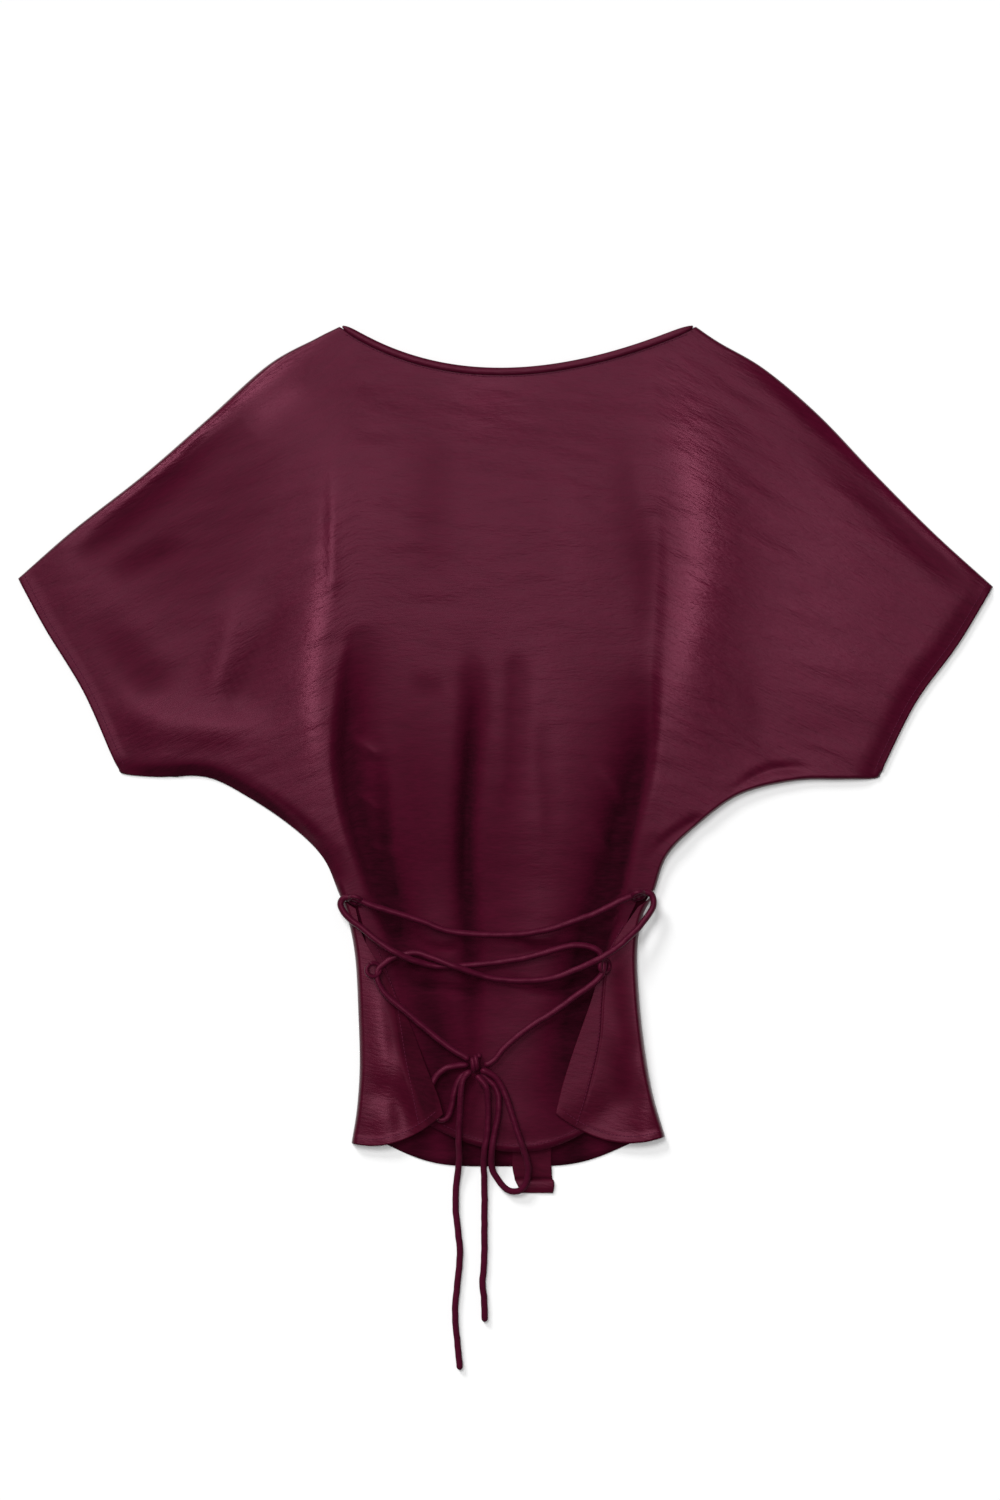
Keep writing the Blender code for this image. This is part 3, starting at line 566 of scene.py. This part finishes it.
def satin(name, colour, roughness, specular, bump_turn=0.0):
    """Crepe-back satin, polyester: a lustrous face of fine twisted weft with slubs across the cloth.

    Its gloss is broad and takes the dye's colour, so folds go from soft rose to nearly black. Yarns are
    0.1 mm, too fine to show, so the slubs are drawn 2 mm apart, and droop on the sleeves as the weft does.
    The attribute that holds painted shade makes the colour darker and the gloss duller in hollows: painted
    shade. Below zero, on ridges, it does the opposite: a painted highlight. The IOR is the default, close to
    polyester's, and the roughness is a satin's, 0.36 to 0.42.
    """
    material = bpy.data.materials.new(name)
    material.use_nodes = True
    tree = material.node_tree
    shader = tree.nodes["Principled BSDF"]
    added = {"operation": "ADD"}
    place = add_node(tree, "SeparateXYZ", None, add_node(tree, "TexCoord").outputs["Object"]).outputs
    outward = add_node(tree, "Math", {"operation": "ABSOLUTE"}, place["X"]).outputs[0]
    past = add_node(tree, "MapRange", Value=outward, From_Min=DROOP_START * MM, From_Max=1.0, To_Max=DROOP)
    droop = add_node(tree, "Math", added, past.outputs[0], place["Y"])
    laid = add_node(tree, "CombineXYZ", X=place["X"], Y=droop.outputs[0], Z=place["Z"]).outputs[0]
    turned = add_node(tree, "Mapping", Vector=laid, Rotation=(0, 0, math.radians(bump_turn))).outputs[0]
    slub_place = add_node(tree, "Mapping", Vector=turned, Scale=SLUBS).outputs[0]
    slub = add_node(tree, "TexNoise", Vector=slub_place, Scale=1.0, Detail=3.0, Roughness=0.65).outputs["Fac"]
    crinkle_place = add_node(tree, "Mapping", Vector=turned, Scale=CRINKLES).outputs[0]
    crinkle = add_node(tree, "TexNoise", Vector=crinkle_place, Scale=1.0, Detail=4.0, Roughness=0.6)
    crinkle = crinkle.outputs["Fac"]
    painted_shade = add_node(tree, "Attribute", {"attribute_name": "painted_shade"}).outputs["Fac"]

    # Colour: the dye, lighter and darker with the weave, with painted shade in hollows and a painted
    # highlight on ridges
    low, high = WEAVE_TONES
    both = add_node(tree, "Mix", {"data_type": "FLOAT"}, CRINKLE_SHARE)
    tree.links.new(slub, both.inputs[2])
    tree.links.new(crinkle, both.inputs[3])
    grain = add_node(tree, "MapRange", Value=both.outputs[0], From_Min=0.25, From_Max=0.75).outputs[0]
    weave = add_node(tree, "MapRange", Value=grain, To_Min=low, To_Max=high)
    # Painted shade makes the dye darker in deep hollows, and a painted highlight makes it lighter on ridges
    painted_darkening = add_node(
        tree, "MapRange", Value=painted_shade, From_Min=SHADE_FROM, From_Max=SHADE_FULL, To_Max=SHADE_TONE
    )
    painted_highlight = add_node(
        tree, "MapRange", Value=painted_shade, From_Min=-1.0, From_Max=0.0, To_Min=PAINTED_RIDGE_HIGHLIGHT, To_Max=0.0
    )
    shade = add_node(tree, "Math", added, painted_darkening.outputs[0], painted_highlight.outputs[0])
    weave_and_painted_light = add_node(tree, "Math", added, shade.outputs[0], weave.outputs[0])
    paint = add_node(tree, "VectorMath", {"operation": "SCALE"}, linear(colour)[:3], Scale=weave_and_painted_light.outputs[0])
    tree.links.new(paint.outputs[0], shader.inputs["Base Color"])

    # Gloss: duller in hollows, glossier on ridges, and uneven with the slubs
    low, high = (roughness + change for change in SLUB_ROUGHNESS)
    gloss = add_node(tree, "MapRange", Value=slub, To_Min=low, To_Max=high)
    duller = add_node(tree, "MapRange", Value=painted_shade, From_Max=DULL_HOLLOW, To_Max=HOLLOW_ROUGHNESS)
    glossier = add_node(
        tree, "MapRange", Value=painted_shade, From_Min=-1.0, From_Max=0.0, To_Min=RIDGE_ROUGHNESS, To_Max=0.0
    )
    turn = add_node(tree, "Math", added, duller.outputs[0], glossier.outputs[0])
    dull = add_node(tree, "Math", {"operation": "ADD", "use_clamp": True}, turn.outputs[0], gloss.outputs[0])
    tree.links.new(dull.outputs[0], shader.inputs["Roughness"])
    shader.inputs["Specular IOR Level"].default_value = 0.36
    shader.inputs["Specular Tint"].default_value = linear(specular)
    shader.inputs["Sheen Weight"].default_value = 0.05
    shader.inputs["Sheen Roughness"].default_value = 0.4
    shader.inputs["Sheen Tint"].default_value = linear(specular)

    # Relief, 1 mm for the crinkles and 0.4 mm for the slubs
    coarse = add_node(tree, "Bump", Strength=0.25, Distance=0.001, Height=crinkle).outputs[0]
    fine = add_node(tree, "Bump", Strength=0.4, Distance=0.0004, Height=slub, Normal=coarse)
    tree.links.new(fine.outputs[0], shader.inputs["Normal"])
    return material


def add_tie(material):
    """The tie in five lengths: the lacing, two bow loops and two hanging ends."""
    routes = {"tie_lacing": LACING_ROUTE, **BOW_ROUTES}
    for seed, (node, route) in enumerate(routes.items()):
        obj, path, length = add_rouleau(node + "_cord", route, material, seed)


# Cloth


def parabola(w, left, middle, right):
    """Points of the parabola through three points, where w runs from -1 at the left to 1 at the right."""
    return middle + w * (right - left) / 2 + w**2 * ((left + right) / 2 - middle)


def below(value, level, softness):
    """1 where the value is well below the level and 0 well above it, with a soft change between."""
    return 1 / (1 + np.exp((value - level) / softness))


def distance_to(x, y, line):
    """Each point's distance from a line, how far along it that is, 0 to 1, and its side, right above zero."""
    start, run = line[:-1], np.diff(line, axis=0)
    dx, dy = x[..., None] - start[:, 0], y[..., None] - start[:, 1]
    share = np.clip((dx * run[:, 0] + dy * run[:, 1]) / (run**2).sum(axis=1), 0, 1)
    dx, dy = dx - share * run[:, 0], dy - share * run[:, 1]
    gaps = dx**2 + dy**2
    nearest = gaps.argmin(axis=-1)[..., None]
    gap, share, dx, dy = (np.take_along_axis(a, nearest, axis=-1)[..., 0] for a in (gaps, share, dx, dy))
    nearest = nearest[..., 0]
    side = run[nearest, 0] * dy - run[nearest, 1] * dx
    return np.sqrt(gap), (nearest + share) / len(run), side


def sampled(line):
    """The smooth curve through a fold's or an edge's few points."""
    return smooth(line, FINE // (len(line) - 1) + 1)


def relief(x, y, folds):
    """Sum of the folds, each its height times exp(-(distance / width) ** power), fading towards its ends.

    A line runs down the garment, so that its right side is the garment's right.
    """
    total = np.zeros_like(x)
    for fold in folds:
        gap, along, side = distance_to(x, y, sampled(fold.line))
        end = np.minimum(np.minimum(along / FOLD_START, (1 - along) / FOLD_END), 1)
        fade = end**2 * (3 - 2 * end)
        width = np.where(side > 0, fold.right, fold.left) * (1 + FOLD_SPREAD * (1 - fade))
        total += fold.height * fade * np.exp(-((gap / width) ** fold.power))
    return total


def ripples(x, y):
    """Small unevenness of the cloth: sine waves along y that droop on the sleeves and swell along x."""
    v = y + DROOP * np.maximum(np.abs(x) - DROOP_START, 0)
    total = np.zeros_like(x)
    for wave, reach, height, start in RIPPLES:
        swell = 0.5 + 0.5 * np.sin(2 * np.pi * x / reach + v / 40 + 2 * start)
        wander = 1.2 * np.sin(2 * np.pi * x / (1.4 * reach) + start)
        total += height * swell * np.sin(2 * np.pi * v / wave + wander)
    return total


def near_top(x, y, folds=NEAR_FOLDS):
    """Height of the near panel's upper side, away from its folded edges, with some of its folds or all.

    Puff and folds are added up, lowered at the open edges, and softly kept above the far panel.
    """
    chest = CHEST_PUFF * below(-y, -CHEST_LOW, 9)
    puff = SLEEVE_PUFF + (BODY_PUFF + chest) * np.exp(-((x / BODY_HALF_WIDTH) ** 2))
    height = puff + relief(x, y, folds)
    for edge in OPEN_EDGES:
        gap, _, _ = distance_to(x, y, sampled(edge.line))
        height = height * (1 - edge.loss * np.exp(-((gap / edge.reach) ** 2)))
    over_tab = np.exp(-(((x - TAB_LIFT_X) / TAB_LIFT_REACH) ** 4)) * below(y, TAB_LIFT_Y, 5)
    low = NEAR_LOW + TAB_LIFT * over_tab
    return low + np.logaddexp(0, height * FLOOR_SHARPNESS) / FLOOR_SHARPNESS


def stepped(gap, depth):
    """Height that a turned edge adds: full within its depth from the edge, then a soft step down."""
    return HEM_STEP * below(gap, depth, 0.35)


def near_painted_shade(x, y):
    """Painted shade on the near cloth, from -1, a painted highlight on a ridge, to 1.1, with more at the
    waist and below.
    """
    waist_shade = PAINTED_WAIST_SHADE * below(y, PAINTED_WAIST_SHADE_FROM, 34) * np.exp(-((x / PAINTED_WAIST_SHADE_HALF_WIDTH) ** 6))
    return np.clip(-relief(x, y, NEAR_FOLDS + NEAR_SHADE) / DEEP, -1, 1.1) + waist_shade


def rolled(height, gap, width):
    """Height beside a folded edge: a quarter of an ellipse that starts ROLL_FOOT above the surface."""
    rise = np.clip(gap / width, 0, 1)
    return ROLL_FOOT + (height - ROLL_FOOT) * np.sqrt(1 - (1 - rise) ** 2)


def near_rows():
    """All rows of the near panel, with corners kept at the sleeve tips, cuffs and waist."""
    tables = (SHOULDER_ROWS, CUFF_ROWS, UNDERARM_ROWS, TONGUE_ROWS)
    shoulder, cuff, underarm, tongue = (
        smooth(rows, steps) for rows, steps in zip(tables, ROW_STEPS.values())
    )
    return shoulder, cuff[1:], underarm[1:], tongue


def spread(left, right, count):
    """Places across each row, 0 to 1: closest over the body's folds and beside both edges."""
    u = np.linspace(0, 1, 1200)
    width = (right - left)[:, None]
    x = left[:, None] + u * width
    edge = np.minimum(u, 1 - u) * width
    density = 0.5 + 0.9 * np.exp(-((x / 165) ** 6)) + 1.6 * np.exp(-((edge / 7) ** 2))
    spent = np.cumsum(density, axis=1)
    spent = (spent - spent[:, :1]) / (spent[:, -1:] - spent[:, :1])
    wanted = np.linspace(0, 1, count)
    return np.stack([np.interp(wanted, row, u) for row in spent])


def near_outline():
    """The folded edges of the near panel, at the shoulders and under the arms, as four lines."""
    shoulder, cuff, underarm, _ = near_rows()
    return [
        evenly(stretch[:, side], 2.0)
        for side in (slice(0, 2), slice(4, 6))
        for stretch in (shoulder, np.vstack([cuff[-1:], underarm]))
    ]


def near_hems():
    """The cuffs' edges and the tongue's hem, as three lines."""
    _, cuff, _, tongue = near_rows()
    w = np.linspace(-1, 1, 81)[:, None]
    cuffs = [np.vstack([SHOULDER_ROWS[-1][k:k + 2], cuff[:, k:k + 2]]) for k in (0, 4)]
    return [*cuffs, parabola(w, tongue[-1, 0:2], tongue[-1, 2:4], tongue[-1, 4:6])]


def near_surface(x, y):
    """Height of the near panel everywhere."""
    gap = np.min([distance_to(x, y, line)[0] for line in near_outline()], axis=0)
    hem = np.min([distance_to(x, y, line)[0] for line in near_hems()], axis=0)
    top = near_top(x, y) + ripples(x, y) + stepped(hem, HEM)
    return rolled(top, gap, np.where(x < 0, *ROLL_WIDTHS))


def near_grid():
    """Each row is a parabola through its left, middle and right points."""
    rows = np.vstack(near_rows())
    left, middle, right = rows[:, None, 0:2], rows[:, None, 2:4], rows[:, None, 4:6]
    w = 2 * spread(rows[:, 0], rows[:, 4], NEAR_COLUMNS)[..., None] - 1
    flat = parabola(w, left, middle, right)
    x, y = flat[..., 0], flat[..., 1]
    return np.dstack([x, y, near_surface(x, y)])


def flap_flat(rows):
    """Places of a flap's rows: each is a parabola from the side to the inner edge, bowed down midway."""
    rows = smooth(rows, FLAP_STEPS)
    side, inner, bow = rows[:, None, 0:2], rows[:, None, 2:4], rows[:, 4][:, None, None]
    t = np.linspace(0, 1, FLAP_COLUMNS)[None, :, None]
    return side + t * (inner - side) - bow * np.array([0.0, 1.0]) * 4 * t * (1 - t)


def flap_surface(x, y, rows):
    """Height of a flap: it bridges the near panel's hollows, with its own folds, a hem and a rolled side."""
    flat = flap_flat(rows)
    hem, _, _ = distance_to(x, y, flat[-1, ::4])
    gap, _, _ = distance_to(x, y, flat[::4, 0])
    folds = np.maximum(relief(x, y, FLAP_FOLDS), DEEPEST_ON_FLAP)
    under = near_top(x, y, tuple(fold for fold in NEAR_FOLDS if fold.height > 0))
    return rolled(under + FLAP_STEP + folds + stepped(hem, HEM), gap, FLAP_ROLL_WIDTH)


def flap_grid(rows):
    """The flap's rows with their heights."""
    flat = flap_flat(rows)
    return np.dstack([flat, flap_surface(flat[..., 0], flat[..., 1], rows)])


def inset(line, amount):
    """The line moved sideways, to the left of its own direction."""
    along = np.gradient(line, axis=0)
    along /= np.linalg.norm(along, axis=1, keepdims=True)
    return line + amount * np.stack([-along[:, 1], along[:, 0]], axis=1)


def far_grid():
    """The panel that lies on the surface: rows down the same sides, a little inside, to its own hem.

    Each row is a parabola, and below the waist they are drawn down to a hem that rises towards both sides.
    """
    shoulder, cuff, underarm, _ = (rows[::3] for rows in near_rows())
    upper = np.vstack([shoulder, cuff, underarm])
    left_side = smooth(LEFT_FLAP_ROWS, 6)[:, 0:2]
    right_side = smooth(RIGHT_FLAP_ROWS, 6)[:, 0:2]
    left = inset(np.vstack([upper[:, 0:2], left_side]), FAR_INSET)
    right = inset(np.vstack([upper[:, 4:6], right_side]), -FAR_INSET)
    down = np.linspace(0, 1, len(left_side))[:, None]
    waist = upper[-1, 2:4]
    middle = np.vstack([upper[:, 2:4], waist + down * (np.array(FAR_HEM_MIDDLE) - waist)])
    w = np.linspace(-1, 1, FAR_COLUMNS)[None, :, None]
    flat = parabola(w, left[:, None], middle[:, None], right[:, None])
    rise = FAR_HEM_RISE * np.sin(np.pi / 2 * np.abs(w[..., 0]) / FAR_HEM_REACH) ** 5
    lower = np.concatenate([np.zeros(len(upper)), down[:, 0] ** 3])[:, None]
    flat[..., 1] += lower * (FAR_HEM_MIDDLE[1] + rise - flat[-1:, :, 1])
    return np.dstack([flat, np.full(flat.shape[:2], FAR_TOP)])


def far_painted_shade(x):
    """Painted shade on the far panel, which lies in the garment's shade, painted lighter where its hem waves.
    """
    return 1.05 - 0.5 * np.sin(x / 6.5) * np.sin(x / 17 + 1)


def tab_painted_shade(y):
    """Painted shade on the tab, darkest in the crease above its turned-up end, and painted lighter on that
    end.
    """
    crease, end = TAB_CREASE
    return 0.4 + 0.8 * np.exp(-(((y - crease) / 1.4) ** 2)) - 0.6 * below(y, end, 0.8)


def tab_grid():
    """The strip that lies on the far panel's hem and steps down to the surface below it."""
    rows = smooth(TAB_ROWS, 8)
    t = np.linspace(0, 1, 24)
    x = rows[:, 0:1] + t * (rows[:, 1:2] - rows[:, 0:1])
    return np.dstack([x, rows[:, 2:3] + 0 * x, rows[:, 3:4] + 0 * x])


def add_stitches(name, lines, surface, material):
    """Running stitches, one behind the other along each line: short tubes of thread, partly sunk."""
    runs = [evenly(np.asarray(line, float), STITCH_PITCH) for line in lines]
    place = np.vstack([(run[1:] + run[:-1]) / 2 for run in runs])[:, None, None]
    heading = np.vstack([np.diff(run, axis=0) for run in runs])
    heading = (heading / np.linalg.norm(heading, axis=1, keepdims=True))[:, None, None]
    along = (np.array([-1, -0.8, 0, 0.8, 1]) * STITCH_LENGTH / 2)[None, :, None]
    girth = (np.array([0.3, 0.9, 1, 0.9, 0.3]) * THREAD / 2)[None, :, None]
    angle = np.linspace(0, 2 * np.pi, 6, endpoint=False)[None, None]
    x = place[..., 0] + along * heading[..., 0] + girth * np.cos(angle) * heading[..., 1]
    y = place[..., 1] + along * heading[..., 1] - girth * np.cos(angle) * heading[..., 0]
    cloth = surface(place[:, 0, 0, 0], place[:, 0, 0, 1])[:, None, None]
    z = cloth + girth * np.sin(angle) + THREAD * 0.2 + 0 * x
    index = np.arange(x.size).reshape(x.shape)
    turned = np.roll(index, -1, axis=2)
    quads = np.stack([index[:, :-1], turned[:, :-1], turned[:, 1:], index[:, 1:]], axis=-1).reshape(-1, 4)
    caps = np.concatenate([index[:, 0, ::-1], index[:, -1]])
    points = np.stack([x, y, z], axis=-1).reshape(-1, 3)
    return add_mesh(name, points, quads.tolist() + caps.tolist(), material)


def add_cloth(name, grid, painted_shade, material, node):
    """A thin shell: the grid is its upper side, and Solidify gives it thickness below."""
    count_v, count_u, _ = grid.shape
    index = np.arange(count_v * count_u).reshape(count_v, count_u)
    quads = np.stack([index[:-1, :-1], index[1:, :-1], index[1:, 1:], index[:-1, 1:]], axis=-1)
    quads = quads.reshape(-1, 4)
    corners = grid.reshape(-1, 3)
    first = corners[quads[0]]
    if np.cross(first[1] - first[0], first[2] - first[0])[2] < 0:
        quads = quads[:, ::-1]
    obj = add_mesh(name, corners, quads.tolist(), material)
    set_painted_shade(obj, np.broadcast_to(painted_shade, grid.shape[:2]))
    wall = obj.modifiers.new("wall", "SOLIDIFY")
    wall.thickness = SHELL * MM
    wall.offset = -1
    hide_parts(node)


def add_binding(name, bottom, material):
    """A rolled binding along the neckline: a flattened tube on a parabola through its ends and middle."""
    w = np.linspace(-1, 1, 120)[:, None]
    left, middle, right = np.array(BINDING_LINE)
    line = parabola(w, left, middle, right)
    path = np.column_stack([line, np.full(len(line), bottom + BINDING_HEIGHT / 2)])
    shape = np.ones((1, 20)) * (1 - 0.75 * np.abs(w) ** 30)
    points = swept(path, shape * BINDING_WIDTH / 2, shape * BINDING_HEIGHT / 2)
    obj = add_mesh(name + "_roll", points, tube_faces(*shape.shape), material)
    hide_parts(name)


def add_loop(name, loop, material):
    """A ring of narrow rouleau that the tie runs through: a circle carried round a leaning ellipse."""
    turn = np.linspace(0, 2 * np.pi, 49)[:-1]
    lean, heading = math.radians(loop.lean), math.radians(loop.heading)
    u = LOOP_RADIUS * np.cos(turn)
    v = LOOP_RADIUS * 1.12 * np.sin(turn)
    path = np.column_stack([
        loop.x + u * math.cos(heading) - v * math.cos(lean) * math.sin(heading),
        loop.y + u * math.sin(heading) + v * math.cos(lean) * math.cos(heading),
        loop.z + v * math.sin(lean),
    ])
    radius = np.full((len(path), 12), LOOP_DIAMETER / 2)
    axis = (math.sin(lean) * math.sin(heading), -math.sin(lean) * math.cos(heading), math.cos(lean))
    points = swept(path, radius, radius, axis)
    obj = add_mesh(name + "_rouleau", points, tube_faces(*radius.shape), material)
    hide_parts(name)


def add_knot(material):
    """The tie wound twice round itself: a flattened coil about the line that the lacing follows."""
    half_turns = np.linspace(*KNOT_HALF_TURNS, 110)
    turn = half_turns * np.pi
    x, y, z = KNOT_CENTRE
    path = np.column_stack([
        x + (half_turns - 2.08) * KNOT_ADVANCE,
        y + KNOT_WIDTH * np.cos(turn) + 0.25 * turn,
        z + KNOT_HEIGHT * np.sin(turn),
    ])
    radius = np.full((len(path), 14), KNOT_GIRTH / 2)
    points = swept(path, radius, radius, (1, 0, 0))
    obj = add_mesh("bow_knot_wraps", points, tube_faces(*radius.shape), material)
    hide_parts("bow_knot")


def add_floor():
    """A wide plain pale floor of matt paper: nearly no gloss, so it only takes the soft shadow."""
    material = bpy.data.materials.new("matt_white_paper")
    material.use_nodes = True
    shader = material.node_tree.nodes["Principled BSDF"]
    shader.inputs["Base Color"].default_value = linear("#E6E6E6")
    shader.inputs["Roughness"].default_value = 0.9
    shader.inputs["Specular IOR Level"].default_value = 0.1
    bpy.ops.mesh.primitive_grid_add(size=FLOOR_SIZE, location=(0, 0, -FLOOR_GAP * MM))
    floor = bpy.context.object
    floor.name = "floor"
    floor.data.materials.append(material)


def add_light(name, bearing, elevation, spread, strength):
    """A distant softbox in the direction of its bearing and elevation, as wide as its spread."""
    light = bpy.data.lights.new(name, "SUN")
    light.angle = math.radians(spread)
    light.energy = strength
    obj = bpy.data.objects.new(name, light)
    obj.rotation_euler = (math.radians(elevation - 90), 0, -math.radians(bearing))
    bpy.context.scene.collection.objects.link(obj)


def add_world(strength):
    """Even white light from all round."""
    world = bpy.data.worlds.new("studio")
    world.use_nodes = True
    world.node_tree.nodes["Background"].inputs["Color"].default_value = (1, 1, 1, 1)
    world.node_tree.nodes["Background"].inputs["Strength"].default_value = strength
    bpy.context.scene.world = world


def thread():
    """Spun polyester sewing thread: hairy, so matt, and dyed a little lighter than the satin."""
    material = bpy.data.materials.new("spun_polyester_thread")
    material.use_nodes = True
    shader = material.node_tree.nodes["Principled BSDF"]
    shader.inputs["Base Color"].default_value = linear("#4A142A")
    shader.inputs["Roughness"].default_value = 0.85
    shader.inputs["Specular Tint"].default_value = linear("#B0627C")
    return material


def build():
    """Camera and tie first, then the cloth with its sewing, the small pieces, and the studio."""
    add_camera()
    tie = satin("rouleau_satin", "#3A071B", 0.42, "#B8667F")
    add_tie(tie)
    body = satin("crepe_back_satin", "#370517", 0.36, "#B46880")
    flap = satin("flap_crepe_back_satin", "#380617", 0.36, "#B46880", bump_turn=12)
    sewing = thread()
    left_cuff, right_cuff, hem = near_hems()
    w = np.linspace(-1, 1, 120)[:, None]
    neck = parabola(w, *np.array(BINDING_LINE))
    body_lines = [
        inset(left_cuff, HEM - STITCH_INSET),
        inset(right_cuff, STITCH_INSET - HEM),
        inset(hem[HEM_SEEN], HEM - STITCH_INSET),
        inset(neck, -BINDING_WIDTH / 2 - NECK_STITCH_INSET)[2:-2],
    ]
    body_sewing = add_stitches("body_topstitch", body_lines, near_surface, sewing)
    far = far_grid()
    add_cloth("back_cloth", far, far_painted_shade(far[..., 0]), body, "back_panel")
    near = near_grid()
    painted_shade = near_painted_shade(near[..., 0], near[..., 1])
    add_cloth("front_cloth", near, painted_shade, body, "front_panel")
    for side, rows in (("left", LEFT_FLAP_ROWS), ("right", RIGHT_FLAP_ROWS)):
        node = f"flap_{side}"
        grid = flap_grid(rows)
        toward = 1 if side == "left" else -1
        seam = sampled(FLAP_SEAMS[side])
        hem_line = inset(grid[-1, 3:-3, :2], toward * (HEM - STITCH_INSET))
        lines = [hem_line, inset(seam, toward * SEAM_STITCH_INSET)]
        surface = partial(flap_surface, rows=rows)
        sewn = add_stitches(node + "_topstitch", lines, surface, sewing)
        # Painted shade on the flap from its folds and shade table, and painted highlight on its ridges
        painted_shade = -relief(grid[..., 0], grid[..., 1], FLAP_FOLDS[:3] + FLAP_SHADE) / DEEP
        painted_shade = np.clip(painted_shade, -0.5, 1) + 0.05
        add_cloth(node + "_cloth", grid, painted_shade, flap, node)
    tab = tab_grid()
    add_cloth("hem_tab_cloth", tab, tab_painted_shade(tab[..., 1]), flap, "hem_tab")
    add_binding("neck_binding_back", 0.05, body)
    add_binding("neck_binding_front", BINDING_HEIGHT + SEAM_GAP, body)
    for name, loop in LOOPS.items():
        add_loop(name, loop, tie)
    add_knot(tie)
    add_floor()
    bpy.context.scene.view_settings.view_transform = "Standard"
    for name, setting in LIGHTS.items():
        add_light(name, *setting)
    add_world(WORLD_STRENGTH)


build()
